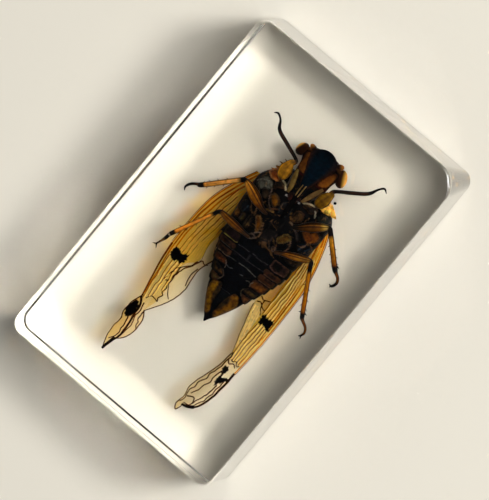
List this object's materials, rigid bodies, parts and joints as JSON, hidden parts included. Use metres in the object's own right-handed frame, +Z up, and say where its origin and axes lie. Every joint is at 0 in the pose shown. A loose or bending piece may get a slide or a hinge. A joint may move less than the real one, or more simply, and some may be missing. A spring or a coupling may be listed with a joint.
{
  "type": "insect in resin block",
  "caption": "Clear rectangular resin paperweight with rounded edges and a cicada sealed inside, belly up, wings folded back.",
  "frame": {"origin": "middle of the block's bottom face", "axes": "+Z up out of the top face, +Y along the block's long side towards the insect's head, +X to the right seen from above with the head away from the viewer"},
  "size_m": [0.0484, 0.075, 0.018],
  "materials": {
    "resin": "clear cast resin, polished",
    "chitin": "dried insect shell, amber brown and black, satin"
  },
  "bodies": {
    "root": {"resin_lower": "resin", "resin_upper": "resin", "cicada": "chitin"}
  },
  "joints": []
}
